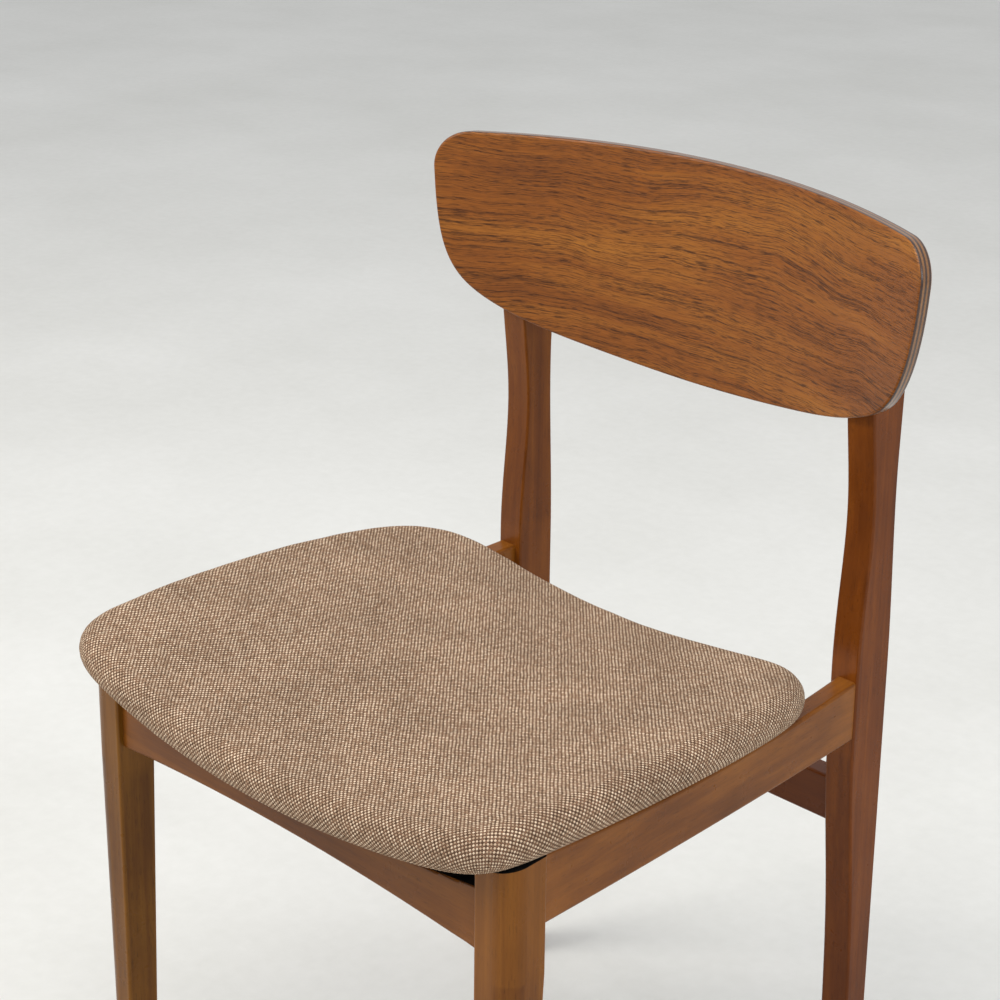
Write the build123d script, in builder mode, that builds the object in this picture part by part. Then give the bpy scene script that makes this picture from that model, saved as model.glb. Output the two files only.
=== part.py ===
"""Dining chair: hardwood frame, moulded plywood backrest and an upholstered saddle seat.

Units are millimetres and +Z is up. The chair faces -Y, so +X is the sitter's left.
The origin is on the floor, under the centre of the chair's box.
Each wooden member is cut by the dowels, screws and plugs that enter it, so that the joints fit.
"""

import os
from math import cos, radians, sin, sqrt

from build123d import *

os.makedirs("parts", exist_ok=True)

# ---------------------------------------------------------------- driving dimensions

# Front legs, square at the rails and tapered below them
LEG_SIZE = 34.0
LEG_INNER_X = 200.0
LEG_FRONT_Y = -203.5
LEG_TAPER_Z = 330.0
LEG_FOOT_X = 25.5
LEG_FOOT_Y = 24.0
LEG_CORNER_R = 16.0
LEG_FOOT_CORNER_R = 11.5
LEG_TOP_Z = 417.9
LEG_TOP_TILT = (-0.19, -0.087, 1.0)
EDGE_R = 2.0

# Rear posts: one plank each, from the floor to the backrest
POST_INNER_X = 170.5
POST_THICK = 26.0
POST_TOP_Z = 752.0
POST_TOP_R = 12.0
POST_FOOT_Y = (215.0, 236.5)
POST_RAIL_Y = 198.5
POST_RAIL_Z = (352.0, 416.0)
POST_NECK_Y = 233.0
POST_NECK_Z = 590.0
POST_TOP_Y = (203.5, 238.0)

# Rails
RAIL_THICK = 18.0
RAIL_EDGE_R = 2.5
FRONT_RAIL_Y = -198.5
FRONT_RAIL_END_Z = (342.6, 390.6)
FRONT_RAIL_MID_Z = (351.0, 376.0)
SIDE_RAIL_FRONT_X = 228.5
SIDE_RAIL_REAR_X = 195.2
SIDE_RAIL_FRONT_Z = (362.5, 416.0)
SIDE_RAIL_MID_Z = (358.8, 402.0)
SIDE_RAIL_REAR_Z = (359.6, 408.5)
SIDE_RAIL_MID_Y = 40.0
REAR_RAIL_THICK = 20.0
REAR_RAIL_Y = 206.5
REAR_RAIL_Z = (278.0, 316.2)

# Seat pad: a saddle, curved about an axis along Y
SADDLE_R = 1155.0
SADDLE_LOW_Z = 394.7
PAD_FRONT = (238.0, -228.0)
PAD_FRONT_MID_Y = -242.6
PAD_SIDE = (244.5, -80.0)
PAD_REAR = (219.0, 142.5)
PAD_REAR_MID_Y = 144.0
PAD_FRONT_CORNER_R = 42.0
PAD_REAR_CORNER_R = 56.0
PAD_MIN_CORNER_R = 10.0
PAD_THICK = 36.0
PAD_TOP_R = 14.0
PAD_BOTTOM_R = 9.0
COVER_THICK = 1.4
COVER_TURN_IN = 60.0
BOARD_THICK = 10.0
BOARD_INSET = 14.0
DUST_THICK = 0.6
DUST_INSET = 30.0
STAPLE_INSET = 50.0
STAPLE_COUNT = 36
STAPLE_LONG = 11.0
STAPLE_WIRE = 0.9
STAPLE_DEEP = 4.5
STAPLE_GAP = 66.0

# Backrest: moulded plywood, curved about a leaning axis in front of it
BACK_R = 547.6
BACK_LEAN = 4.0
BACK_REF_Y = 220.7
BACK_REF_Z = 620.0
BACK_CROWN_Z = 153.4
BACK_TOP_CORNER = (250.6, 141.4)
BACK_SIDE = ((250.4, 110.0), (242.5, 57.0), (220.0, 17.5), (190.0, 0.8), (109.0, -17.2))
BACK_LOW_Z = -24.3
BACK_CORNER_R = 30.0
BACK_EDGE_R = 1.8
VENEER_THICK = 0.9
PLY_THICK = 2.04
PLY_COUNT = 5

# Seat supports inside the frame
BLOCK_WING_X = 122.0
BLOCK_WING_Y = -98.0
BLOCK_FACE = 16.0
BLOCK_LOW_Z = 366.0
BLOCK_SCREW_Z = (373.0, 384.0)
CLEAT_WIDE = 20.0
CLEAT_Y = (52.0, 136.0)
CLEAT_SCREW_Y = (66.0, 122.0)
FRONT_SEAT_SCREW = (178.0, -150.0)
REAR_SEAT_SCREW_Y = 94.0

# Fasteners and fittings
DOWEL_R = 4.0
FRONT_DOWEL_Z = (354.0, 377.0)
SIDE_FRONT_DOWEL_Z = (375.0, 399.0)
SIDE_REAR_DOWEL_Z = (371.0, 394.0)
REAR_DOWEL_Z = (287.0, 307.0)
WOOD_SCREW_R = 2.0
WOOD_SCREW_TIP_R = 0.4
WOOD_SCREW_TIP = 5.0
WOOD_SCREW_HEAD_R = 4.0
WOOD_SCREW_HEAD = 2.6
BACK_SCREW_Z = (652.0, 718.0)
BACK_SCREW_DEPTH = 7.0
PLUG_R = 5.0
PLUG_DEEP = 7.0
SEAT_SCREW_R = 3.0
SEAT_SCREW_HEAD_R = 5.5
SEAT_SCREW_HEAD = 4.0
SEAT_SCREW_SOCKET_R = 2.3
WASHER_R = 9.0
WASHER_THICK = 1.6
TEE_NUT_BARREL_R = 4.0
TEE_NUT_FLANGE_R = 9.5
TEE_NUT_FLANGE = 1.4
TEE_NUT_SINK = 3.0
TEE_NUT_BARREL = 6.0
GLIDE_R = 9.0
GLIDE_THICK = 4.0
GLIDE_EDGE_R = 1.2
NAIL_R = 1.4
NAIL_LONG = 15.0
NAIL_HEAD_R = 3.0
NAIL_HEAD = 1.0
NAIL_RECESS = 1.5

# ---------------------------------------------------------------- worked out from them

LEG_BACK_Y = LEG_FRONT_Y + LEG_SIZE
POST_MID_X = POST_INNER_X + POST_THICK / 2
FRONT_RAIL_BACK_Y = FRONT_RAIL_Y + RAIL_THICK
SADDLE_AXIS_Z = SADDLE_LOW_Z + SADDLE_R
SIDE_RAIL_RUN = (SIDE_RAIL_FRONT_X - SIDE_RAIL_REAR_X) / (POST_RAIL_Y - LEG_BACK_Y)
SIDE_RAIL_SKEW = RAIL_THICK * sqrt(1 + SIDE_RAIL_RUN**2)
RAIL_DIRECTION = Vector(SIDE_RAIL_RUN, -1, 0).normalized()
BACK_THICK = 2 * VENEER_THICK + PLY_COUNT * PLY_THICK
LEAN = radians(BACK_LEAN)
BACK_PLANE = Plane(
    origin=(0, BACK_REF_Y, BACK_REF_Z),
    x_dir=(1, 0, 0),
    z_dir=(0, -cos(LEAN), sin(LEAN)),
)
BACK_AXIS_PLANE = Plane(
    origin=(0, BACK_REF_Y - BACK_R * cos(LEAN), BACK_REF_Z + BACK_R * sin(LEAN)),
    x_dir=(1, 0, 0),
    z_dir=(0, sin(LEAN), cos(LEAN)),
)
LEG_GLIDE = (LEG_INNER_X + LEG_FOOT_X / 2, LEG_FRONT_Y + LEG_FOOT_Y / 2)
POST_GLIDE = (POST_MID_X, sum(POST_FOOT_Y) / 2)


def side_rail_outer_x(y):
    """X of the left side rail's outer face at y."""
    return SIDE_RAIL_FRONT_X - SIDE_RAIL_RUN * (y - LEG_BACK_Y)


def side_rail_inner_x(y):
    """X of the left side rail's inner face at y."""
    return side_rail_outer_x(y) - SIDE_RAIL_SKEW


def pad_underside_z(x):
    """Height of the seat pad's underside at x."""
    return SADDLE_AXIS_Z - sqrt(SADDLE_R**2 - x**2)


def back_front_y(x, z):
    """Y of the backrest's front face at x and z."""
    depth = sqrt(BACK_R**2 - x**2) - BACK_R
    up = (z - BACK_REF_Z + sin(LEAN) * depth) / cos(LEAN)
    return BACK_REF_Y + sin(LEAN) * up + cos(LEAN) * depth


def post_back_y(z):
    """Y of a rear post's back face at height z, above its neck."""
    rise = (z - POST_NECK_Z) / (POST_TOP_Z - POST_NECK_Z)
    return POST_NECK_Y + rise * (POST_TOP_Y[1] - POST_NECK_Y)


REAR_SEAT_SCREW = (
    side_rail_inner_x(REAR_SEAT_SCREW_Y) - CLEAT_WIDE / 2,
    REAR_SEAT_SCREW_Y,
)
SEAT_SCREWS = (FRONT_SEAT_SCREW, REAR_SEAT_SCREW)


def write(piece, label):
    """Names a finished piece and writes it."""
    piece.label = label
    export_step(piece, f"parts/{label}.step")


def write_pair(piece, label):
    """Writes a piece of the +X side as label_left, and its mirror image as label_right."""
    with BuildPart() as other_side:
        mirror(piece, about=Plane.YZ)
    write(piece, f"{label}_left")
    write(other_side.part, f"{label}_right")


def disc_sketch(centre, axis, radius):
    """A disc at a point, square to an axis."""
    with BuildSketch(Plane(origin=tuple(centre), z_dir=tuple(axis))) as disc:
        Circle(radius)
    return disc.sketch


def bar(start, end, radius):
    """Adds a round bar from one point to another."""
    along = Vector(*end) - Vector(*start)
    extrude(disc_sketch(start, along, radius), amount=along.length)


# ---------------------------------------------------------------- dowels


def dowels(joint_x, joint_y, heights, direction, into, out_of):
    """Adds a dowel at each height, across a joint face: direction points into the second member."""
    for z in heights:
        joint = Vector(joint_x, joint_y, z)
        bar(joint - direction * out_of, joint + direction * into, DOWEL_R)


with BuildPart() as front_rail_dowels:
    dowels(
        LEG_INNER_X,
        FRONT_RAIL_Y + RAIL_THICK / 2,
        FRONT_DOWEL_Z,
        direction=Vector(1, 0, 0),
        into=15,
        out_of=15,
    )
    mirror(about=Plane.YZ)

with BuildPart() as side_rail_front_dowels:
    dowels(
        side_rail_outer_x(LEG_BACK_Y) - SIDE_RAIL_SKEW / 2,
        LEG_BACK_Y,
        SIDE_FRONT_DOWEL_Z,
        direction=RAIL_DIRECTION,
        into=13,
        out_of=17,
    )
    mirror(about=Plane.YZ)

with BuildPart() as side_rail_rear_dowels:
    dowels(
        side_rail_outer_x(POST_RAIL_Y) - SIDE_RAIL_SKEW / 2,
        POST_RAIL_Y,
        SIDE_REAR_DOWEL_Z,
        direction=-RAIL_DIRECTION,
        into=15,
        out_of=20,
    )
    mirror(about=Plane.YZ)

with BuildPart() as rear_rail_dowels:
    dowels(
        POST_INNER_X,
        REAR_RAIL_Y + REAR_RAIL_THICK / 2,
        REAR_DOWEL_Z,
        direction=Vector(1, 0, 0),
        into=14,
        out_of=16,
    )
    mirror(about=Plane.YZ)

write(front_rail_dowels.part, "front_rail_dowels")
write(side_rail_front_dowels.part, "side_rail_front_dowels")
write(side_rail_rear_dowels.part, "side_rail_rear_dowels")
write(rear_rail_dowels.part, "rear_rail_dowels")

# ---------------------------------------------------------------- wood screws


def wood_screw(head, point):
    """Adds a countersunk screw: a cone head, a shank and a drawn-out tip."""
    axis = (Vector(*point) - Vector(*head)).normalized()
    neck = Vector(*head) + axis * WOOD_SCREW_HEAD
    tip = Vector(*point) - axis * WOOD_SCREW_TIP
    neck_disc = disc_sketch(neck, axis, WOOD_SCREW_R)
    loft((disc_sketch(head, axis, WOOD_SCREW_HEAD_R), neck_disc))
    extrude(neck_disc, amount=(tip - neck).length)
    loft((disc_sketch(tip, axis, WOOD_SCREW_R), disc_sketch(point, axis, WOOD_SCREW_TIP_R)))


def access_hole(head, point):
    """Adds the bore that a screw's head and driver pass through."""
    axis = (Vector(*point) - Vector(*head)).normalized()
    bar(Vector(*head) - axis * 60, head, WOOD_SCREW_HEAD_R)


BLOCK_SCREWS = (
    ((146.0, -164.0, BLOCK_SCREW_Z[0]), (146.0, -194.0, BLOCK_SCREW_Z[0])),
    ((186.0, -122.0, BLOCK_SCREW_Z[1]), (219.0, -122.0, BLOCK_SCREW_Z[1])),
)
CLEAT_SCREWS = tuple(
    (
        (side_rail_inner_x(y) - CLEAT_WIDE + 1.5, y, BLOCK_SCREW_Z[1]),
        (side_rail_inner_x(y) + 13.0, y, BLOCK_SCREW_Z[1]),
    )
    for y in CLEAT_SCREW_Y
)

with BuildPart() as corner_block_screws:
    for screw in BLOCK_SCREWS:
        wood_screw(*screw)
    mirror(about=Plane.YZ)

with BuildPart() as cleat_screws:
    for screw in CLEAT_SCREWS:
        wood_screw(*screw)
    mirror(about=Plane.YZ)

with BuildPart() as driver_holes:
    for screw in BLOCK_SCREWS + CLEAT_SCREWS:
        access_hole(*screw)

write(corner_block_screws.part, "corner_block_screws")
write(cleat_screws.part, "cleat_screws")

# ---------------------------------------------------------------- backrest


def back_outline():
    """The backrest's outline: a shallow arc along the top and one curve round the bottom."""
    corner_x, corner_z = BACK_TOP_CORNER
    mirrored = [(-x, z) for x, z in reversed(BACK_SIDE)]
    with BuildSketch(BACK_PLANE.offset(-90)) as outline:
        with BuildLine():
            ThreePointArc((-corner_x, corner_z), (0, BACK_CROWN_Z), (corner_x, corner_z))
            Spline(
                (corner_x, corner_z),
                *BACK_SIDE,
                (0, BACK_LOW_Z),
                *mirrored,
                (-corner_x, corner_z),
                tangents=((0, -1), (0, 1)),
            )
        make_face()
        fillet(outline.vertices(), BACK_CORNER_R)
    return outline.sketch


def back_ring(near, far):
    """The space between two distances behind the backrest's front face, seen along its axis."""
    with BuildSketch(BACK_AXIS_PLANE.offset(-400)) as ring:
        Circle(BACK_R + far)
        Circle(BACK_R + near, mode=Mode.SUBTRACT)
    return ring.sketch


with BuildPart() as back_envelope:
    extrude(back_outline(), amount=180)
    extrude(back_ring(0, BACK_THICK), amount=800, mode=Mode.INTERSECT)
    curved_faces = back_envelope.faces().filter_by(GeomType.CYLINDER).sort_by(SortBy.AREA)[-2:]
    fillet(curved_faces.edges(), BACK_EDGE_R)

with BuildPart() as backrest_screws:
    for z in BACK_SCREW_Z:
        head_y = post_back_y(z) - PLUG_DEEP
        tip_y = back_front_y(POST_MID_X, z) + BACK_THICK - BACK_SCREW_DEPTH
        wood_screw((POST_MID_X, head_y, z), (POST_MID_X, tip_y, z))
    mirror(about=Plane.YZ)

write(backrest_screws.part, "backrest_screws")


def back_layers(spans):
    """Solids of the backrest between each pair of distances behind its front face."""
    with BuildPart() as layers:
        for near, far in spans:
            extrude(back_ring(near, far), amount=800)
        add(back_envelope.part, mode=Mode.INTERSECT)
        add(backrest_screws.part, mode=Mode.SUBTRACT)
    return layers.part


ply_spans = [
    (VENEER_THICK + i * PLY_THICK, VENEER_THICK + (i + 1) * PLY_THICK) for i in range(PLY_COUNT)
]
write(back_layers([(0, VENEER_THICK)]), "backrest_face_veneer")
write(back_layers(ply_spans[0::2]), "backrest_cross_plies")
write(back_layers(ply_spans[1::2]), "backrest_long_plies")
write(back_layers([(BACK_THICK - VENEER_THICK, BACK_THICK)]), "backrest_back_veneer")

# ---------------------------------------------------------------- glides

with BuildPart() as glide_nails:
    for place in (LEG_GLIDE, POST_GLIDE):
        bar((*place, NAIL_RECESS - NAIL_HEAD), (*place, NAIL_RECESS), NAIL_HEAD_R)
        bar((*place, NAIL_RECESS), (*place, GLIDE_THICK + NAIL_LONG), NAIL_R)
    mirror(about=Plane.YZ)

write(glide_nails.part, "glide_nails")

for place, label in ((LEG_GLIDE, "glide_front"), (POST_GLIDE, "glide_rear")):
    with BuildPart() as glide:
        bar((*place, 0), (*place, GLIDE_THICK), GLIDE_R)
        fillet(glide.edges().sort_by(Axis.Z)[0], GLIDE_EDGE_R)
        recess = disc_sketch((*place, 0), (0, 0, 1), NAIL_HEAD_R + 0.2)
        extrude(recess, amount=NAIL_RECESS, mode=Mode.SUBTRACT)
        add(glide_nails.part, mode=Mode.SUBTRACT)
    write_pair(glide.part, label)

# ---------------------------------------------------------------- rear posts

with BuildPart() as post_blank:
    with BuildSketch(Plane.YZ.offset(POST_INNER_X)):
        with BuildLine():
            foot_front = (POST_FOOT_Y[0], GLIDE_THICK)
            foot_back = (POST_FOOT_Y[1], GLIDE_THICK)
            rail_low = (POST_RAIL_Y, POST_RAIL_Z[0])
            rail_high = (POST_RAIL_Y, POST_RAIL_Z[1])
            top_front = (POST_TOP_Y[0], POST_TOP_Z)
            top_back = (POST_TOP_Y[1], POST_TOP_Z)
            neck_back = (POST_NECK_Y, POST_NECK_Z)
            seat_back = (POST_FOOT_Y[1], 420.0)
            Line(foot_back, foot_front)
            Spline(foot_front, (207.8, 220.0), rail_low, tangents=((-0.045, 1), (0, 1)))
            Line(rail_low, rail_high)
            Spline(
                rail_high,
                (205.6, 548.0),
                (197.5, 634.0),
                top_front,
                tangents=((0, 1), (0.09, 1)),
            )
            Line(top_front, top_back)
            upper_back = Line(top_back, neck_back)
            Spline(neck_back, seat_back, tangents=(upper_back % 1, (0, -1)))
            Line(seat_back, foot_back)
        make_face()
    extrude(amount=POST_THICK)
    across = post_blank.edges().filter_by(Axis.X).group_by(Axis.Z)[-1]
    fillet(across.sort_by(Axis.Y)[-1], POST_TOP_R)


def plug_bores():
    """Adds a bar in place of each wooden plug of the left post, longer than the plug."""
    for z in BACK_SCREW_Z:
        head_y = post_back_y(z) - PLUG_DEEP
        bar((POST_MID_X, head_y, z), (POST_MID_X, head_y + 20, z), PLUG_R)


with BuildPart() as left_plug_bores:
    plug_bores()

with BuildPart() as backrest_plugs:
    plug_bores()
    add(post_blank.part, mode=Mode.INTERSECT)
    mirror(about=Plane.YZ)

write(backrest_plugs.part, "backrest_plugs")


with BuildPart() as rear_post:
    add(post_blank.part)
    side_faces = rear_post.faces().filter_by(Axis.X)
    fillet(side_faces.edges(), EDGE_R)
    for cutter in (
        back_envelope,
        backrest_screws,
        left_plug_bores,
        side_rail_rear_dowels,
        rear_rail_dowels,
        glide_nails,
    ):
        add(cutter.part, mode=Mode.SUBTRACT)

write_pair(rear_post.part, "rear_post")

# ---------------------------------------------------------------- seat pad


def pad_outline(inset):
    """The pad's outline in plan, drawn in by inset: bowed sides, and narrower at the back."""
    front = (PAD_FRONT[0] - inset, PAD_FRONT[1] + inset)
    side = (PAD_SIDE[0] - inset, PAD_SIDE[1])
    rear = (PAD_REAR[0] - inset, PAD_REAR[1] - inset)
    with BuildSketch(Plane.XY.offset(SADDLE_LOW_Z - 20)) as outline:
        with BuildLine():
            ThreePointArc((-front[0], front[1]), (0, PAD_FRONT_MID_Y + inset), front)
            ThreePointArc(front, side, rear)
            ThreePointArc(rear, (0, PAD_REAR_MID_Y - inset), (-rear[0], rear[1]))
            ThreePointArc((-rear[0], rear[1]), (-side[0], side[1]), (-front[0], front[1]))
        make_face()
        corners = outline.vertices().sort_by(Axis.Y)
        fillet(corners[:2], max(PAD_FRONT_CORNER_R - inset, PAD_MIN_CORNER_R))
        corners = outline.vertices().sort_by(Axis.Y)
        fillet(corners[-2:], max(PAD_REAR_CORNER_R - inset, PAD_MIN_CORNER_R))
    return outline.sketch


def saddle_ring(low, high):
    """The space between two heights above the pad's underside, seen from the front."""
    with BuildSketch(Plane.XZ.offset(-300)) as ring:
        with Locations((0, SADDLE_AXIS_Z)):
            Circle(SADDLE_R - low)
            Circle(SADDLE_R - high, mode=Mode.SUBTRACT)
    return ring.sketch


def saddle_slab(inset, low, high, top_r=0.0, bottom_r=0.0):
    """A saddle-shaped slab of the pad's outline, with rounded rims if asked."""
    with BuildPart() as slab:
        extrude(pad_outline(inset), amount=120)
        extrude(saddle_ring(low, high), amount=600, mode=Mode.INTERSECT)
        if top_r:
            saddles = slab.faces().sort_by(SortBy.AREA)[-2:].sort_by(Axis.Z)
            fillet(saddles[1].edges(), top_r)
            saddles = slab.faces().sort_by(SortBy.AREA)[-2:].sort_by(Axis.Z)
            fillet(saddles[0].edges(), bottom_r)
    return slab.part


pad_outer = saddle_slab(0, 0, PAD_THICK, PAD_TOP_R, PAD_BOTTOM_R)
pad_inner = saddle_slab(
    COVER_THICK,
    COVER_THICK,
    PAD_THICK - COVER_THICK,
    PAD_TOP_R - COVER_THICK,
    PAD_BOTTOM_R - COVER_THICK,
)
seat_clearance = saddle_slab(-2, -DUST_THICK, 60)

with BuildPart() as seat_screws:
    for x, y in SEAT_SCREWS:
        head_z = BLOCK_LOW_Z - WASHER_THICK
        top_z = pad_underside_z(x) + COVER_THICK + BOARD_THICK - TEE_NUT_SINK + TEE_NUT_FLANGE
        bar((x, y, head_z), (x, y, top_z), SEAT_SCREW_R)
        bar((x, y, head_z - SEAT_SCREW_HEAD), (x, y, head_z), SEAT_SCREW_HEAD_R)
        with BuildSketch(Plane.XY.offset(head_z - SEAT_SCREW_HEAD)) as socket:
            with Locations((x, y)):
                RegularPolygon(SEAT_SCREW_SOCKET_R, 6)
        extrude(socket.sketch, amount=SEAT_SCREW_HEAD / 2, mode=Mode.SUBTRACT)
    mirror(about=Plane.YZ)

with BuildPart() as seat_screw_washers:
    for x, y in SEAT_SCREWS:
        bar((x, y, BLOCK_LOW_Z - WASHER_THICK), (x, y, BLOCK_LOW_Z), WASHER_R)
    mirror(about=Plane.YZ)
    add(seat_screws.part, mode=Mode.SUBTRACT)

with BuildPart() as seat_tee_nuts:
    for x, y in SEAT_SCREWS:
        flange_z = pad_underside_z(x) + COVER_THICK + BOARD_THICK - TEE_NUT_SINK
        bar((x, y, flange_z), (x, y, flange_z + TEE_NUT_FLANGE), TEE_NUT_FLANGE_R)
        bar((x, y, flange_z - TEE_NUT_BARREL), (x, y, flange_z), TEE_NUT_BARREL_R)
    mirror(about=Plane.YZ)
    add(seat_screws.part, mode=Mode.SUBTRACT)

with BuildPart() as counterbores:
    for x, y in SEAT_SCREWS:
        flange_z = pad_underside_z(x) + COVER_THICK + BOARD_THICK - TEE_NUT_SINK
        bar((x, y, flange_z), (x, y, flange_z + 10), TEE_NUT_FLANGE_R)
    mirror(about=Plane.YZ)

write(seat_screws.part, "seat_screws")
write(seat_screw_washers.part, "seat_screw_washers")
write(seat_tee_nuts.part, "seat_tee_nuts")


def near_seat_screw(place):
    """Whether a point in plan lies over a corner block or a cleat."""
    return any(
        (Vector(abs(place.X), place.Y) - Vector(*screw)).length < STAPLE_GAP
        for screw in SEAT_SCREWS
    )


def under_seat(place, drop):
    """The point below the pad's underside by drop, at a place in plan."""
    return (place.X, place.Y, pad_underside_z(place.X) - drop)


with BuildPart() as seat_staples:
    staple_path = pad_outline(STAPLE_INSET).wire()
    crown_drop = DUST_THICK + STAPLE_WIRE / 2
    for i in range(STAPLE_COUNT):
        middle = staple_path.position_at(i / STAPLE_COUNT)
        along = staple_path.tangent_at(i / STAPLE_COUNT) * (STAPLE_LONG / 2)
        ends = (middle - along, middle + along)
        if middle.X > STAPLE_LONG and not near_seat_screw(middle):
            bar(under_seat(ends[0], crown_drop), under_seat(ends[1], crown_drop), STAPLE_WIRE / 2)
            for end in ends:
                bar(under_seat(end, crown_drop), under_seat(end, -STAPLE_DEEP), STAPLE_WIRE / 2)
    mirror(about=Plane.YZ)

write(seat_staples.part, "seat_staples")

with BuildPart() as seat_board:
    add(saddle_slab(BOARD_INSET, COVER_THICK, COVER_THICK + BOARD_THICK))
    for cutter in (counterbores, seat_tee_nuts, seat_screws, seat_staples):
        add(cutter.part, mode=Mode.SUBTRACT)

with BuildPart() as seat_foam:
    add(pad_inner)
    for cutter in (seat_board, seat_tee_nuts, seat_screws, seat_staples):
        add(cutter.part, mode=Mode.SUBTRACT)

with BuildPart() as seat_cover:
    add(pad_outer)
    add(pad_inner, mode=Mode.SUBTRACT)
    add(saddle_slab(COVER_TURN_IN, -5, COVER_THICK), mode=Mode.SUBTRACT)
    add(seat_screws.part, mode=Mode.SUBTRACT)
    add(seat_staples.part, mode=Mode.SUBTRACT)

with BuildPart() as dust_cover:
    add(saddle_slab(DUST_INSET, -DUST_THICK, 0))
    add(seat_screws.part, mode=Mode.SUBTRACT)
    add(seat_staples.part, mode=Mode.SUBTRACT)

write(seat_board.part, "seat_board")
write(seat_foam.part, "seat_foam")
write(seat_cover.part, "seat_cover")
write(dust_cover.part, "dust_cover")

# ---------------------------------------------------------------- front legs


def leg_section(z, size_x, size_y, corner_r):
    """A front leg's section, with its inner and front faces where they are at the rails."""
    x = LEG_INNER_X
    y = LEG_FRONT_Y
    corners = ((x, y), (x + size_x, y), (x + size_x, y + size_y), (x, y + size_y))
    with BuildSketch(Plane.XY.offset(z)) as section:
        with BuildLine():
            FilletPolyline(*corners, radius=(EDGE_R, corner_r, EDGE_R, EDGE_R), close=True)
        make_face()
    return section.sketch


with BuildPart() as front_leg:
    upper = leg_section(LEG_TAPER_Z, LEG_SIZE, LEG_SIZE, LEG_CORNER_R)
    foot = leg_section(GLIDE_THICK, LEG_FOOT_X, LEG_FOOT_Y, LEG_FOOT_CORNER_R)
    loft((foot, upper))
    extrude(upper, amount=120)
    top_corner = (LEG_INNER_X + LEG_SIZE, LEG_BACK_Y, LEG_TOP_Z)
    split(bisect_by=Plane(origin=top_corner, z_dir=LEG_TOP_TILT), keep=Keep.BOTTOM)
    add(seat_clearance, mode=Mode.SUBTRACT)
    for cutter in (front_rail_dowels, side_rail_front_dowels, glide_nails):
        add(cutter.part, mode=Mode.SUBTRACT)

write_pair(front_leg.part, "front_leg")

# ---------------------------------------------------------------- rails


def rail_profile(plane, ends, low, high):
    """A rail's side view: arcs through three heights along its bottom and its top."""
    start, middle, end = ends
    with BuildSketch(plane) as profile:
        with BuildLine():
            ThreePointArc((start, low[0]), (middle, low[1]), (end, low[2]))
            Line((end, low[2]), (end, high[2]))
            ThreePointArc((end, high[2]), (middle, high[1]), (start, high[0]))
            Line((start, high[0]), (start, low[0]))
        make_face()
    return profile.sketch


with BuildPart() as front_rail:
    extrude(
        rail_profile(
            Plane.XZ.offset(-FRONT_RAIL_Y),
            (-LEG_INNER_X, 0, LEG_INNER_X),
            (FRONT_RAIL_END_Z[0], FRONT_RAIL_MID_Z[0], FRONT_RAIL_END_Z[0]),
            (FRONT_RAIL_END_Z[1], FRONT_RAIL_MID_Z[1], FRONT_RAIL_END_Z[1]),
        ),
        amount=-RAIL_THICK,
    )
    fillet(front_rail.edges().filter_by(lambda edge: edge.length > 300), EDGE_R)
    add(front_rail_dowels.part, mode=Mode.SUBTRACT)
    add(corner_block_screws.part, mode=Mode.SUBTRACT)

write(front_rail.part, "front_rail")

with BuildPart() as side_rail:
    extrude(
        rail_profile(
            Plane.YZ.offset(LEG_INNER_X - 60),
            (LEG_BACK_Y, SIDE_RAIL_MID_Y, POST_RAIL_Y),
            (SIDE_RAIL_FRONT_Z[0], SIDE_RAIL_MID_Z[0], SIDE_RAIL_REAR_Z[0]),
            (SIDE_RAIL_FRONT_Z[1], SIDE_RAIL_MID_Z[1], SIDE_RAIL_REAR_Z[1]),
        ),
        amount=120,
    )
    with BuildSketch() as plan:
        Polygon(
            (side_rail_outer_x(LEG_BACK_Y), LEG_BACK_Y),
            (side_rail_outer_x(POST_RAIL_Y), POST_RAIL_Y),
            (side_rail_inner_x(POST_RAIL_Y), POST_RAIL_Y),
            (side_rail_inner_x(LEG_BACK_Y), LEG_BACK_Y),
            align=None,
        )
    extrude(plan.sketch, amount=600, mode=Mode.INTERSECT)
    fillet(side_rail.edges().filter_by(lambda edge: edge.length > 300), RAIL_EDGE_R)
    add(seat_clearance, mode=Mode.SUBTRACT)
    for cutter in (
        side_rail_front_dowels,
        side_rail_rear_dowels,
        corner_block_screws,
        cleat_screws,
    ):
        add(cutter.part, mode=Mode.SUBTRACT)

write_pair(side_rail.part, "side_rail")

with BuildPart() as rear_rail:
    with BuildSketch(Plane.YZ.offset(-POST_INNER_X)) as end_view:
        with Locations((REAR_RAIL_Y + REAR_RAIL_THICK / 2, sum(REAR_RAIL_Z) / 2)):
            RectangleRounded(REAR_RAIL_THICK, REAR_RAIL_Z[1] - REAR_RAIL_Z[0], RAIL_EDGE_R)
    extrude(end_view.sketch, amount=2 * POST_INNER_X)
    add(rear_rail_dowels.part, mode=Mode.SUBTRACT)

write(rear_rail.part, "rear_rail")

# ---------------------------------------------------------------- corner blocks and cleats


def seat_support(*corners):
    """A block of the plan given, from the blocks' underside up to the seat, with its bores."""
    with BuildPart() as block:
        with BuildSketch(Plane.XY.offset(BLOCK_LOW_Z)) as plan:
            Polygon(*corners, align=None)
        extrude(plan.sketch, amount=80)
        add(seat_clearance, mode=Mode.SUBTRACT)
        for cutter in (driver_holes, corner_block_screws, cleat_screws, seat_screws):
            add(cutter.part, mode=Mode.SUBTRACT)
    return block.part


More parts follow.
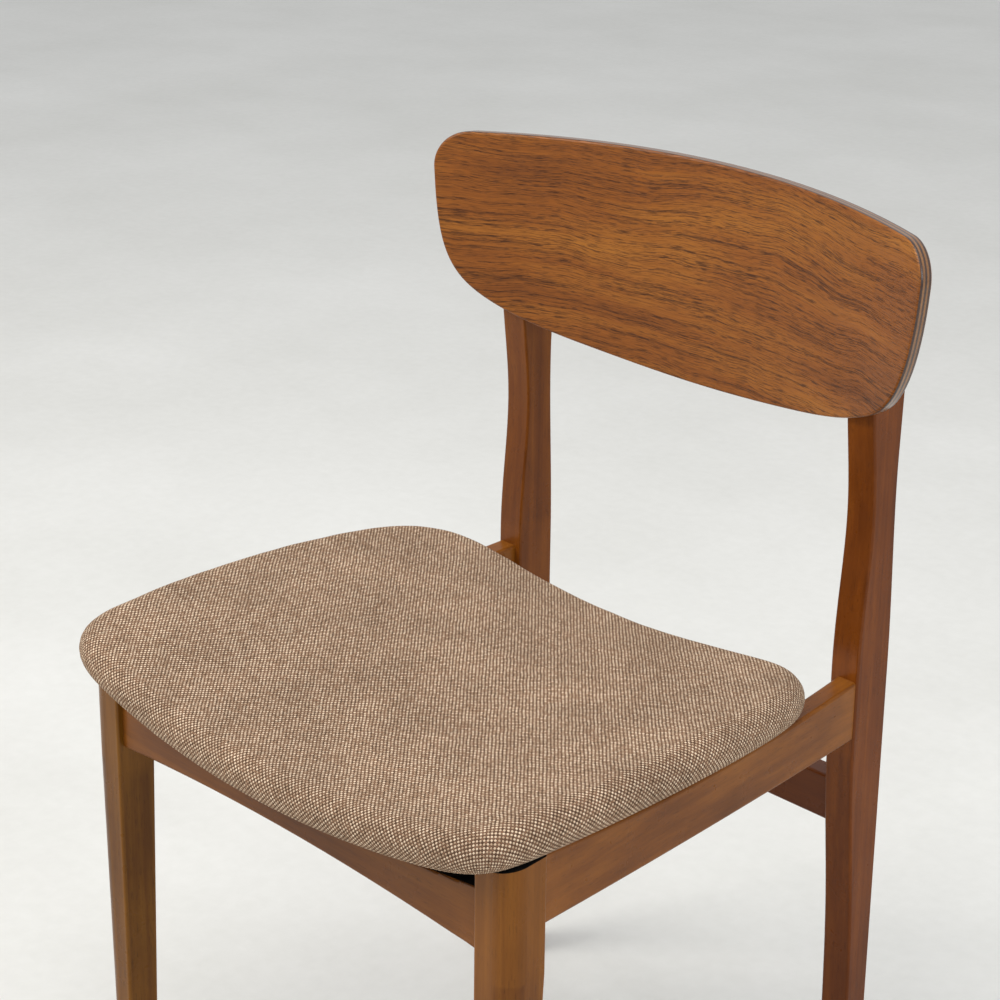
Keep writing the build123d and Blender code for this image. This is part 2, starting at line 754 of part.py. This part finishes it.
corner_block = seat_support(
    (BLOCK_WING_X, FRONT_RAIL_BACK_Y),
    (LEG_INNER_X, FRONT_RAIL_BACK_Y),
    (LEG_INNER_X, LEG_BACK_Y),
    (side_rail_inner_x(LEG_BACK_Y), LEG_BACK_Y),
    (side_rail_inner_x(BLOCK_WING_Y), BLOCK_WING_Y),
    (side_rail_inner_x(BLOCK_WING_Y) - BLOCK_FACE, BLOCK_WING_Y),
    (BLOCK_WING_X, FRONT_RAIL_BACK_Y + BLOCK_FACE),
)
seat_cleat = seat_support(
    (side_rail_inner_x(CLEAT_Y[0]), CLEAT_Y[0]),
    (side_rail_inner_x(CLEAT_Y[1]), CLEAT_Y[1]),
    (side_rail_inner_x(CLEAT_Y[1]) - CLEAT_WIDE, CLEAT_Y[1]),
    (side_rail_inner_x(CLEAT_Y[0]) - CLEAT_WIDE, CLEAT_Y[0]),
)
write_pair(corner_block, "front_corner_block")
write_pair(seat_cleat, "rear_seat_cleat")
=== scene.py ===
"""Dining chair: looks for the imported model. Metres, +Z up, the chair faces -Y."""

from math import cos, pi, radians, sin

import bmesh
import bpy
from mathutils import Matrix, Vector, noise


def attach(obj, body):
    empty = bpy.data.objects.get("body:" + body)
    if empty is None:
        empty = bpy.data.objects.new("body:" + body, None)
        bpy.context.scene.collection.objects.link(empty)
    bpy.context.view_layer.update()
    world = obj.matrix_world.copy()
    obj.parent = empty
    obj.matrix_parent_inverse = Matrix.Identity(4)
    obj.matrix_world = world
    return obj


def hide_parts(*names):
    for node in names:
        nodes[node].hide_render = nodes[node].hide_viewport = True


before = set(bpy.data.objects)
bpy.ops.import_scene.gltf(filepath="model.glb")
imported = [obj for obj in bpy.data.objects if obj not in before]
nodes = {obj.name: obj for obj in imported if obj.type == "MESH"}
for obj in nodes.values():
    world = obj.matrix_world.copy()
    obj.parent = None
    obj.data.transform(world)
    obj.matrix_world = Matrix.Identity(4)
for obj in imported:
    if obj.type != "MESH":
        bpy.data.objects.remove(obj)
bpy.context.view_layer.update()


def link(name, data):
    """Puts a mesh, light or camera in the scene as an object."""
    made = bpy.data.objects.new(name, data)
    bpy.context.collection.objects.link(made)
    return made


# ---------------------------------------------------------------- node helpers


class Tree:
    """Builds one material's node tree."""

    def __init__(self, name):
        self.material = bpy.data.materials.new(name)
        self.material.use_nodes = True
        self.tree = self.material.node_tree
        self.tree.nodes.clear()
        self.output = self.tree.nodes.new("ShaderNodeOutputMaterial")
        self.shader = self.tree.nodes.new("ShaderNodeBsdfPrincipled")
        self.tree.links.new(self.shader.outputs[0], self.output.inputs[0])

    def set(self, socket, value):
        """Links an output to a socket, or stores a constant on it."""
        if isinstance(value, bpy.types.NodeSocket):
            self.tree.links.new(value, socket)
        else:
            socket.default_value = value

    def node(self, kind, inputs=(), **settings):
        """Adds a shader node, with its inputs by name or index."""
        made = self.tree.nodes.new("ShaderNode" + kind)
        for key, value in settings.items():
            setattr(made, key, value)
        for key, value in dict(inputs).items():
            self.set(made.inputs[key], value)
        return made

    def math(self, operation, a, b=0.0):
        return self.node("Math", {0: a, 1: b}, operation=operation).outputs[0]

    def mix(self, factor, a, b, blend="MIX"):
        """Mixes two colours; a blend name other than MIX changes how."""
        made = self.node("Mix", data_type="RGBA", blend_type=blend)
        self.set(made.inputs[0], factor)
        self.set(made.inputs[6], a)
        self.set(made.inputs[7], b)
        return made.outputs[2]

    def ramp(self, factor, *stops):
        """A colour ramp through (place, colour or grey) stops."""
        made = self.node("ValToRGB", {0: factor})
        ramp = made.color_ramp
        while len(ramp.elements) < len(stops):
            ramp.elements.new(0.5)
        for element, (place, colour) in zip(ramp.elements, stops):
            element.position = place
            grey = isinstance(colour, (int, float))
            element.color = (colour, colour, colour, 1) if grey else (*colour, 1)
        return made.outputs[0]

    def noise(self, vector, scale, detail=3.0, rough=0.55):
        made = self.node(
            "TexNoise",
            {"Vector": vector, "Scale": scale, "Detail": detail, "Roughness": rough},
        )
        return made.outputs[0]

    def mapped(self, vector, scale=(1, 1, 1), location=(0, 0, 0), rotation=(0, 0, 0)):
        made = self.node(
            "Mapping",
            {"Vector": vector, "Scale": scale, "Location": location, "Rotation": rotation},
        )
        return made.outputs[0]

    def bump(self, height, strength, distance, normal=None):
        """A bump normal, on top of another if one is given."""
        made = self.node(
            "Bump", {"Height": height, "Strength": strength, "Distance": distance}
        )
        if normal:
            self.set(made.inputs["Normal"], normal)
        return made.outputs[0]

    def finish(self, colour, roughness, normal=None, **constants):
        """Fills the shader's sockets and returns the material."""
        self.set(self.shader.inputs["Base Color"], colour)
        self.set(self.shader.inputs["Roughness"], roughness)
        if normal:
            self.set(self.shader.inputs["Normal"], normal)
        for key, value in constants.items():
            self.shader.inputs[key.replace("_", " ")].default_value = value
        return self.material


# ---------------------------------------------------------------- materials

GRAIN_TO_Z = {"X": (0, pi / 2, 0), "Y": (pi / 2, 0, 0), "Z": (0, 0, 0)}


def solid_wood(name, grain, seed, dark, middle, light):
    """Stained beech: soft long figure, short flecks, cloudy stain and a satin lacquer."""
    t = Tree(name)
    place = t.node("TexCoord").outputs["Object"]
    turned = t.mapped(place, rotation=GRAIN_TO_Z[grain], location=seed)
    warp = t.noise(t.mapped(turned, scale=(1, 1, 0.14)), 17, 2)
    cloud = t.noise(t.mapped(turned, scale=(1, 1, 0.40)), 26, 4, 0.6)
    fibre = t.noise(t.mapped(turned, scale=(1, 1, 0.022)), 620, 4, 0.65)
    streak = t.noise(t.mapped(turned, scale=(1, 1, 0.030)), 120, 3, 0.6)
    fleck = t.noise(t.mapped(turned, scale=(1, 1, 0.085)), 1150, 2, 0.5)
    fleck_mask = t.ramp(fleck, (0.60, 0.0), (0.68, 1.0))
    figure = t.math("MULTIPLY", streak, 0.50)
    figure = t.math("ADD", figure, t.math("MULTIPLY", warp, 0.30))
    figure = t.math("ADD", figure, t.math("MULTIPLY", cloud, 0.34))
    figure = t.math("SUBTRACT", figure, 0.07)
    base = t.ramp(figure, (0.30, dark), (0.50, middle), (0.72, light))
    fine = t.ramp(fibre, (0.32, (0.80, 0.77, 0.74)), (0.62, (1.08, 1.06, 1.04)))
    base = t.mix(0.45, base, fine, "MULTIPLY")
    fleck_colour = tuple(c * 0.35 for c in dark) + (1,)
    base = t.mix(t.math("MULTIPLY", fleck_mask, 0.38), base, fleck_colour)
    edges = t.node("NewGeometry").outputs["Pointiness"]
    worn = t.ramp(edges, (0.505, 0.0), (0.56, 1.0))
    worn_colour = tuple(min(1, c * 1.5) for c in light) + (1,)
    base = t.mix(t.math("MULTIPLY", worn, 0.25), base, worn_colour)
    gloss = t.ramp(t.noise(place, 38, 3), (0.35, 0.26), (0.70, 0.38))
    height = t.math("SUBTRACT", fibre, t.math("MULTIPLY", fleck_mask, 0.6))
    normal = t.bump(height, 0.16, 0.0002)
    normal = t.bump(t.noise(place, 24, 2), 0.10, 0.0015, normal)
    return t.finish(
        base, gloss, normal, Coat_Weight=0.05, Coat_Roughness=0.14, Specular_IOR_Level=0.16
    )


DARK = (0.072, 0.0190, 0.0022)
MIDDLE = (0.145, 0.0440, 0.0050)
LIGHT = (0.235, 0.0830, 0.0110)


def wood_for(name, grain, seed, tint=(1, 1, 1)):
    """A piece's own wood: the same stain on another board."""
    stains = [tuple(c * k for c, k in zip(stain, tint)) for stain in (DARK, MIDDLE, LIGHT)]
    return solid_wood(name, grain, seed, *stains)


def veneer(name, seed, swirl, tint):
    """Sliced veneer: long figure with one soft swirl, dark open pores and a satin lacquer."""
    t = Tree(name)
    place = t.node("TexCoord").outputs["Object"]
    split = t.node("SeparateXYZ", {0: place})
    x = t.math("MULTIPLY", t.math("SUBTRACT", split.outputs[0], swirl[0]), 9.0)
    z = t.math("MULTIPLY", t.math("SUBTRACT", split.outputs[2], swirl[1]), 22.0)
    near = t.math("ADD", t.math("MULTIPLY", x, x), t.math("MULTIPLY", z, z))
    lift = t.math("DIVIDE", 0.016, t.math("ADD", near, 1.0))
    sway = t.noise(t.mapped(place, scale=(1, 0, 0.6), location=seed), 7.5, 2, 0.45)
    rise = t.math("MULTIPLY", t.math("SUBTRACT", sway, 0.5), 0.030)
    height = t.math("SUBTRACT", t.math("SUBTRACT", split.outputs[2], lift), rise)
    bent = t.node("CombineXYZ", {0: split.outputs[0], 1: 0.0, 2: height}).outputs[0]
    moved = t.mapped(bent, location=seed)
    lines = t.noise(t.mapped(moved, scale=(0.016, 0, 1)), 330, 3, 0.7)
    fibre = t.noise(t.mapped(moved, scale=(0.022, 0, 1)), 700, 4, 0.65)
    broad = t.noise(t.mapped(moved, scale=(0.22, 0, 1)), 15, 3, 0.6)
    band = t.noise(t.mapped(moved, scale=(0.05, 0, 1)), 48, 3, 0.6)
    pores = t.noise(t.mapped(moved, scale=(0.050, 0, 1)), 1500, 2, 0.6)
    where = t.ramp(lines, (0.38, 0.15), (0.56, 1.0))
    pore_mask = t.math("MULTIPLY", t.ramp(pores, (0.48, 0.0), (0.56, 1.0)), where)
    line_mask = t.ramp(lines, (0.55, 0.0), (0.62, 1.0))
    figure = t.math("MULTIPLY", broad, 0.55)
    figure = t.math("ADD", figure, t.math("MULTIPLY", band, 0.45))
    dark, middle, light = tint
    base = t.ramp(figure, (0.34, light), (0.52, middle), (0.72, dark))
    fine = t.ramp(fibre, (0.30, (0.74, 0.68, 0.62)), (0.64, (1.10, 1.08, 1.06)))
    base = t.mix(0.60, base, fine, "MULTIPLY")
    soot = tuple(c * 0.28 for c in dark) + (1,)
    base = t.mix(t.math("MULTIPLY", line_mask, 0.45), base, soot)
    base = t.mix(t.math("MULTIPLY", pore_mask, 0.80), base, soot)
    gloss = t.ramp(t.noise(place, 30, 3), (0.35, 0.28), (0.70, 0.40))
    relief = t.math("SUBTRACT", fibre, t.math("MULTIPLY", pore_mask, 1.2))
    normal = t.bump(relief, 0.30, 0.00025)
    normal = t.bump(t.noise(place, 16, 2), 0.10, 0.0020, normal)
    return t.finish(
        base, gloss, normal, Coat_Weight=0.08, Coat_Roughness=0.22, Specular_IOR_Level=0.22
    )


def ply_edge(name, seed, dark, light):
    """A core ply seen at the panel's rim."""
    t = Tree(name)
    place = t.mapped(t.node("TexCoord").outputs["Object"], location=seed)
    speck = t.noise(t.mapped(place, scale=(1, 1, 0.5)), 900, 3, 0.7)
    patch = t.noise(place, 60, 3)
    mottle = t.math("ADD", t.math("MULTIPLY", speck, 0.65), t.math("MULTIPLY", patch, 0.35))
    base = t.ramp(mottle, (0.35, dark), (0.65, light))
    normal = t.bump(speck, 0.25, 0.0002)
    return t.finish(base, 0.34, normal, Coat_Weight=0.35, Coat_Roughness=0.2)


def shade_block_paint():
    """Black paint brushed on rough softwood, used as painted shade for the dark slot under the
    pad.
    """
    t = Tree("black_paint_for_shade")
    place = t.node("TexCoord").outputs["Object"]
    brush = t.noise(t.mapped(place, scale=(0.08, 1, 1)), 420, 3, 0.6)
    dust = t.noise(place, 90, 4, 0.6)
    base = t.ramp(dust, (0.35, (0.004, 0.004, 0.004)), (0.75, (0.013, 0.012, 0.011)))
    normal = t.bump(brush, 0.35, 0.0003)
    return t.finish(base, t.ramp(dust, (0.3, 0.65), (0.7, 0.85)), normal, Specular_IOR_Level=0.15)


def plain_wood(name, colour):
    """Unstained wood inside the joints."""
    t = Tree(name)
    place = t.node("TexCoord").outputs["Object"]
    fibre = t.noise(t.mapped(place, scale=(0.05, 0.05, 1)), 500, 4, 0.6)
    base = t.ramp(fibre, (0.3, tuple(c * 0.7 for c in colour)), (0.7, colour))
    return t.finish(base, 0.6, t.bump(fibre, 0.2, 0.0002))


def zinc():
    """Zinc-plated steel, slightly clouded."""
    t = Tree("zinc_steel")
    place = t.node("TexCoord").outputs["Object"]
    cloud = t.noise(place, 300, 4, 0.7)
    base = t.ramp(cloud, (0.3, (0.40, 0.40, 0.39)), (0.7, (0.66, 0.66, 0.64)))
    rough = t.ramp(cloud, (0.3, 0.42), (0.7, 0.26))
    return t.finish(base, rough, t.bump(cloud, 0.12, 0.0002), Metallic=1.0)


def nylon():
    """Moulded glide, scuffed underneath."""
    t = Tree("nylon")
    place = t.node("TexCoord").outputs["Object"]
    scuff = t.noise(t.mapped(place, scale=(1, 0.2, 1)), 700, 3, 0.6)
    base = t.ramp(scuff, (0.3, (0.10, 0.065, 0.040)), (0.7, (0.19, 0.13, 0.085)))
    return t.finish(base, t.ramp(scuff, (0.3, 0.45), (0.7, 0.7)), t.bump(scuff, 0.2, 0.0002))


WEAVE_CELL = 0.00178


def hopsack():
    """Two-tone basket weave in wool: pale over dark, with slubs, fuzz, painted shade between the
    yarns and a soft sheen.
    """
    t = Tree("hopsack_wool")
    place = t.node("UVMap", uv_map="weave").outputs[0]
    wobble = t.noise(place, 55, 3, 0.6)
    split = t.node("SeparateXYZ", {0: place})
    drift = t.math("MULTIPLY", t.math("SUBTRACT", wobble, 0.5), 0.0014)
    u = t.math("DIVIDE", t.math("ADD", split.outputs[0], drift), WEAVE_CELL)
    v = t.math("DIVIDE", t.math("ADD", split.outputs[1], drift), WEAVE_CELL)
    hump_u = t.math("ABSOLUTE", t.math("SINE", t.math("MULTIPLY", u, pi)))
    hump_v = t.math("ABSOLUTE", t.math("SINE", t.math("MULTIPLY", v, pi)))
    column = t.math("FLOOR", u)
    row = t.math("FLOOR", v)
    parity = t.math("MODULO", t.math("ADD", t.math("ADD", column, row), 4096.0), 2.0)
    over = t.math("GREATER_THAN", parity, 0.5)
    cell = t.math("MULTIPLY", t.math("POWER", hump_u, 0.55), t.math("POWER", hump_v, 0.55))
    yarn_id = t.node("CombineXYZ", {0: column, 1: row}).outputs[0]
    random = t.node("TexWhiteNoise", {"Vector": yarn_id}).outputs[0]
    fibre = t.noise(place, 4200, 3, 0.7)
    slub = t.noise(t.mapped(place, scale=(1, 0.15, 1)), 240, 3, 0.6)
    pale = t.mix(random, (0.440, 0.290, 0.185, 1), (0.880, 0.680, 0.490, 1))
    deep = t.mix(random, (0.075, 0.033, 0.017, 1), (0.210, 0.105, 0.060, 1))
    base = t.mix(over, deep, pale)
    # Painted shade: near-black at each cell's edge, in the grooves between the yarns.
    base = t.mix(t.ramp(cell, (0.08, 1.0), (0.55, 0.0)), base, (0.030, 0.013, 0.007, 1))
    base = t.mix(t.ramp(fibre, (0.45, 0.0), (0.78, 0.30)), base, (0.46, 0.34, 0.23, 1))
    base = t.mix(t.ramp(slub, (0.66, 0.0), (0.74, 0.5)), base, (0.46, 0.38, 0.28, 1))
    broad = t.ramp(t.noise(place, 14, 3), (0.30, (0.84, 0.84, 0.84)), (0.70, (1.10, 1.10, 1.10)))
    base = t.mix(1.0, base, broad, "MULTIPLY")
    height = t.math("MULTIPLY", cell, t.math("ADD", t.math("MULTIPLY", over, 0.55), 0.45))
    height = t.math("ADD", height, t.math("MULTIPLY", fibre, 0.30))
    normal = t.bump(height, 0.85, 0.0007)
    return t.finish(
        base,
        0.92,
        normal,
        Sheen_Weight=0.14,
        Sheen_Roughness=0.5,
        Sheen_Tint=(0.80, 0.60, 0.42, 1),
        Specular_IOR_Level=0.08,
    )


def dust_cloth():
    """Thin black non-woven cloth under the seat."""
    t = Tree("dust_cloth")
    place = t.node("TexCoord").outputs["Object"]
    dots = t.node("TexVoronoi", {"Vector": place, "Scale": 620}).outputs[0]
    fibre = t.noise(place, 1600, 3, 0.7)
    base = t.ramp(dots, (0.1, (0.012, 0.012, 0.013)), (0.5, (0.035, 0.034, 0.034)))
    height = t.math("ADD", dots, t.math("MULTIPLY", fibre, 0.5))
    return t.finish(base, 0.85, t.bump(height, 0.5, 0.0003), Specular_IOR_Level=0.25)


# ---------------------------------------------------------------- looks for the CAD nodes


def paint(material, *names):
    """Gives whole CAD nodes one material."""
    for name in names:
        piece = nodes[name]
        piece.data.materials.clear()
        piece.data.materials.append(material)
        for polygon in piece.data.polygons:
            polygon.material_index = 0


# Each board's node, material name, grain direction, place in the pattern and tint.
BOARDS = (
    # Painted reflection: the front legs' golden-olive tints stand for the warm sheen of their
    # lacquer, strongest on the right leg.
    ("front_leg_left", "wood_leg_left_sheen_tint", "Z", (0.31, 0.12, 0.05), (0.98, 1.02, 0.9)),
    ("front_leg_right", "wood_leg_right_sheen_tint", "Z", (1.93, 0.61, 0.70), (0.92, 1.08, 0.9)),
    ("rear_post_left", "wood_post_left", "Z", (0.77, 1.43, 0.20), (0.98, 0.78, 0.5)),
    ("rear_post_right", "wood_post_right", "Z", (2.15, 0.27, 1.10), (0.92, 0.80, 0.6)),
    ("front_rail", "wood_rail_front", "X", (0.05, 0.91, 0.33), (0.90, 0.90, 0.9)),
    # Painted shade: the rear rail's dark tint stands for the shadow it sits in under the seat.
    ("rear_rail", "wood_rail_rear_shaded", "X", (1.41, 0.36, 0.84), (0.62, 0.45, 0.4)),
    ("side_rail_left", "wood_rail_left", "Y", (0.52, 0.33, 1.71), (1.12, 1.12, 1.0)),
    ("side_rail_right", "wood_rail_right", "Y", (0.94, 1.82, 0.47), (1.10, 1.10, 0.9)),
)
for node, look, grain, seed, tint in BOARDS:
    paint(wood_for(look, grain, seed, tint), node)
paint(wood_for("wood_plug", "Y", (0.20, 0.70, 0.10), (0.70, 0.60, 0.5)), "backrest_plugs")

FACE_TINT = ((0.150, 0.042, 0.0060), (0.270, 0.085, 0.0110), (0.400, 0.150, 0.0200))
BACK_TINT = ((0.130, 0.036, 0.0050), (0.230, 0.072, 0.0095), (0.340, 0.125, 0.0170))
paint(veneer("veneer_face", (0.3, 0.1, 0.6), (0.080, 0.728), FACE_TINT), "backrest_face_veneer")
paint(veneer("veneer_back", (1.7, 0.4, 0.2), (-0.080, 0.660), BACK_TINT), "backrest_back_veneer")
paint(
    ply_edge("ply_cross", (0.2, 0.5, 0.9), (0.020, 0.007, 0.004), (0.070, 0.026, 0.010)),
    "backrest_cross_plies",
)
paint(
    ply_edge("ply_long", (0.8, 0.1, 0.4), (0.150, 0.058, 0.014), (0.300, 0.130, 0.032)),
    "backrest_long_plies",
)
# Painted shade: the corner blocks and cleats are black to give the deep shadow in the slot under
# the pad.
black = shade_block_paint()
paint(
    black,
    "front_corner_block_left",
    "front_corner_block_right",
    "rear_seat_cleat_left",
    "rear_seat_cleat_right",
)
paint(
    plain_wood("beech", (0.62, 0.43, 0.26)),
    "front_rail_dowels",
    "side_rail_front_dowels",
    "side_rail_rear_dowels",
    "rear_rail_dowels",
)


def shade_top_black(name, lowest):
    """Paints a node's upward faces black above a height, as painted shade: the ones in shadow
    under the pad.
    """
    piece = nodes[name].data
    piece.materials.append(black)
    for polygon in piece.polygons:
        if polygon.normal.z > 0.8 and polygon.center.z > lowest:
            polygon.material_index = 1


# Painted shade: the front legs' tops and the front rail's top are black for the shadow under the
# pad.
shade_top_black("front_leg_left", 0.40)
shade_top_black("front_leg_right", 0.40)
shade_top_black("front_rail", 0.37)
paint(plain_wood("board_ply", (0.55, 0.38, 0.22)), "seat_board")
paint(
    zinc(),
    "corner_block_screws",
    "cleat_screws",
    "seat_staples",
    "seat_screws",
    "seat_screw_washers",
    "seat_tee_nuts",
    "backrest_screws",
    "glide_nails",
)
paint(nylon(), "glide_front_left", "glide_front_right", "glide_rear_left", "glide_rear_right")

# ---------------------------------------------------------------- the seat pad

# The rim is a tube of radius RIM, and the crown stands above it.
RIM = 0.0160
CROWN = 0.0085

# Height of the rim's middle line: at x = 0, gained with x squared, lost towards both ends.
MIDDLE_LINE_Z = 0.41190
SIDE_RISE = 0.4327
END_DROP = 0.00367
SADDLE_Y = -0.0315
SADDLE_SPAN = 0.1872

# The underside's arc, as in the CAD.
UNDERSIDE_Z = 0.3947
UNDERSIDE_R = 1.155

# The rim's middle line in plan. REAR_BOW is negative because that edge bows inward.
FRONT_POWER = 16.6
REAR_POWER = 6.93
HALF_WIDTH = 0.20980
NARROWING = 0.00889
SIDE_BOW = 0.01732
OUTLINE_Y = -0.03784
HALF_DEPTH = 0.17718
FRONT_BOW = 0.01152
REAR_BOW = -0.01449
PAD_MIDDLE = Vector((0.0, -0.038))

# Counts of points, rows and steps.
FINE = 7200
AROUND = 288
TUBE = 16
RINGS = 30
UNDER_RINGS = 10


def saddle(x, y):
    """Height of the rim's middle line: high at the sides, a little low in front and behind."""
    return MIDDLE_LINE_Z + SIDE_RISE * x * x - END_DROP * ((y - SADDLE_Y) / SADDLE_SPAN) ** 2


def underside(x):
    """Height of the pad's underside, the arc that the CAD has."""
    return UNDERSIDE_Z + UNDERSIDE_R - (UNDERSIDE_R**2 - x * x) ** 0.5


def rim_point(angle):
    """The rim's middle line in plan: a superellipse, squarer in front than behind."""
    c = cos(angle)
    s = sin(angle)
    power = FRONT_POWER if s < 0 else REAR_POWER
    size = (abs(c) ** power + abs(s) ** power) ** (-1 / power)
    a = c * size
    b = s * size
    x = a * (HALF_WIDTH - NARROWING * b + SIDE_BOW * (1 - b * b))
    bow = FRONT_BOW if b < 0 else REAR_BOW
    y = OUTLINE_Y + HALF_DEPTH * b + bow * b * (1 - a * a)
    return Vector((x, y))


def even_outline(count):
    """Points at even distances along the rim's middle line."""
    fine = [rim_point(2 * pi * i / FINE) for i in range(FINE)]
    lengths = [0.0]
    for i in range(FINE):
        lengths.append(lengths[-1] + (fine[(i + 1) % FINE] - fine[i]).length)
    points = []
    at = 0
    for k in range(count):
        target = lengths[-1] * k / count
        while lengths[at + 1] < target:
            at += 1
        part = (target - lengths[at]) / (lengths[at + 1] - lengths[at])
        points.append(fine[at].lerp(fine[(at + 1) % FINE], part))
    return points


def top_rows(line):
    """The crowned top, from the middle out to the rim: rows of (point, place in the weave)."""
    for j in range(1, RINGS + 1):
        s = (j / RINGS) ** 0.8
        swell = CROWN * (1 - s**2.2) ** 1.25
        row = []
        for p in line:
            q = PAD_MIDDLE.lerp(p, s)
            row.append((Vector((q.x, q.y, saddle(q.x, q.y) + RIM + swell)), (q.x, q.y)))
        yield row


def rim_rows(line, outward):
    """The rolled rim, from the top round to the underside."""
    for j in range(1, TUBE + 1):
        angle = pi / 2 - pi * j / TUBE
        row = []
        for p, out in zip(line, outward):
            q = p + out * RIM * cos(angle) * 0.985
            flat = p + out * RIM * (pi / 2 - angle)
            row.append((Vector((q.x, q.y, saddle(p.x, p.y) + RIM * sin(angle))), (flat.x, flat.y)))
        yield row


def under_rows(line, outward):
    """The turned-in underside, easing from the rim onto the CAD's arc."""
    for j in range(1, UNDER_RINGS + 1):
        s = 1 - j / (UNDER_RINGS + 1)
        ease = min(1.0, j / 2.0)
        row = []
        for p, out in zip(line, outward):
            q = PAD_MIDDLE.lerp(p, s)
            low = saddle(q.x, q.y) - RIM
            height = low + (max(low, underside(q.x)) - low) * ease
            flat = p + out * (RIM * pi + (p - q).length)
            row.append((Vector((q.x, q.y, height)), (flat.x, flat.y)))
        yield row


def roughen(mesh):
    """Moves the pad's top and rim by up to about a millimetre, as stuffing does."""
    mesh.normal_update()
    for vert in mesh.verts:
        if vert.co.z > underside(vert.co.x) + 0.004:
            wave = noise.noise(vert.co * 19.0) * 0.0007 + noise.noise(vert.co * 55.0) * 0.00030
            vert.co += vert.normal * wave


def seat_pad():
    """The upholstered pad: crowned top, rolled rim and a turned-in underside, with a weave map."""
    line = even_outline(AROUND)
    outward = []
    for k in range(AROUND):
        step = line[(k + 1) % AROUND] - line[k - 1]
        outward.append(Vector((step.y, -step.x)).normalized())
    rows = [*top_rows(line), *rim_rows(line, outward), *under_rows(line, outward)]

    mesh = bmesh.new()
    layer = mesh.loops.layers.uv.new("weave")
    made = [[mesh.verts.new(point) for point, _ in row] for row in rows]
    weave = [[where for _, where in row] for row in rows]
    x, y = PAD_MIDDLE
    top = mesh.verts.new((x, y, saddle(0, y) + RIM + CROWN))
    low = mesh.verts.new((x, y, underside(0)))

    def face(corners, maps):
        built = mesh.faces.new(corners)
        built.smooth = True
        for loop, where in zip(built.loops, maps):
            loop[layer].uv = where

    last = len(rows) - 1
    for k in range(AROUND):
        n = (k + 1) % AROUND
        face((top, made[0][k], made[0][n]), ((x, y), weave[0][k], weave[0][n]))
        face((low, made[last][n], made[last][k]), ((x, y), weave[last][n], weave[last][k]))
        for j in range(last):
            face(
                (made[j][k], made[j + 1][k], made[j + 1][n], made[j][n]),
                (weave[j][k], weave[j + 1][k], weave[j + 1][n], weave[j][n]),
            )
    roughen(mesh)
    data = bpy.data.meshes.new("seat_pad")
    mesh.to_mesh(data)
    mesh.free()
    data.materials.append(hopsack())
    return link("seat_pad", data)


pad = seat_pad()
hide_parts("seat_cover", "seat_foam")
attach(pad, "root")
paint(dust_cloth(), "dust_cover")

# ---------------------------------------------------------------- floor, light and camera

FLOOR_HALF = 8
FLOOR_CORNERS = ((-1, -1), (1, -1), (1, 1), (-1, 1))


def floor_material():
    """Pale, faintly clouded floor."""
    t = Tree("pale_floor")
    place = t.node("TexCoord").outputs["Object"]
    cloud = t.noise(place, 2.2, 4, 0.6)
    grit = t.noise(place, 60, 4, 0.6)
    mixed = t.math("ADD", t.math("MULTIPLY", cloud, 0.7), t.math("MULTIPLY", grit, 0.3))
    base = t.ramp(mixed, (0.30, (0.70, 0.70, 0.665)), (0.70, (0.80, 0.80, 0.77)))
    return t.finish(base, 0.55, t.bump(grit, 0.05, 0.002))


floor_data = bpy.data.meshes.new("floor")
floor_data.from_pydata(
    [(x * FLOOR_HALF, y * FLOOR_HALF, 0) for x, y in FLOOR_CORNERS],
    [],
    [(0, 1, 2, 3)],
)
floor_data.materials.append(floor_material())
floor = link("floor", floor_data)


def area_light(name, place, target, size, power, colour):
    """A rectangular light at a place, aimed at a target."""
    data = bpy.data.lights.new(name, "AREA")
    data.shape = "RECTANGLE"
    data.size, data.size_y = size
    data.energy = power
    data.color = colour
    lamp = link(name, data)
    lamp.location = place
    aim = Vector(target) - Vector(place)
    lamp.rotation_euler = aim.to_track_quat("-Z", "Y").to_euler()


area_light("key", (-1.6, -2.2, 2.7), (0, 0, 0.45), (1.6, 1.2), 58, (1.0, 0.965, 0.92))
area_light("side", (2.9, 0.4, 1.9), (0, 0, 0.5), (1.4, 1.4), 26, (0.93, 0.96, 1.0))
area_light("top", (0.3, -0.3, 3.2), (0, 0, 0.4), (2.4, 2.4), 36, (1.0, 0.98, 0.95))

world = bpy.data.worlds.new("world")
world.use_nodes = True
world.node_tree.nodes["Background"].inputs[0].default_value = (0.94, 0.95, 0.97, 1)
world.node_tree.nodes["Background"].inputs[1].default_value = 0.68
bpy.context.scene.world = world
bpy.context.scene.view_settings.view_transform = "Standard"

CAMERA_PLACE = (1.2024, -1.1492, 1.1981)
YAW = radians(46.09)
PITCH = radians(19.29)
ROLL = radians(0.64)
forward = Vector((-sin(YAW) * cos(PITCH), cos(YAW) * cos(PITCH), -sin(PITCH)))
level = Vector((cos(YAW), sin(YAW), 0))
over = level.cross(forward)
right = level * cos(ROLL) + over * sin(ROLL)
up = over * cos(ROLL) - level * sin(ROLL)
lens = bpy.data.cameras.new("camera")
lens.sensor_width = 36
lens.lens = 86.66
lens.shift_y = -0.08
camera = link("camera", lens)
turn = Matrix((right, up, -forward)).transposed()
camera.matrix_world = Matrix.Translation(CAMERA_PLACE) @ turn.to_4x4()
bpy.context.scene.camera = camera
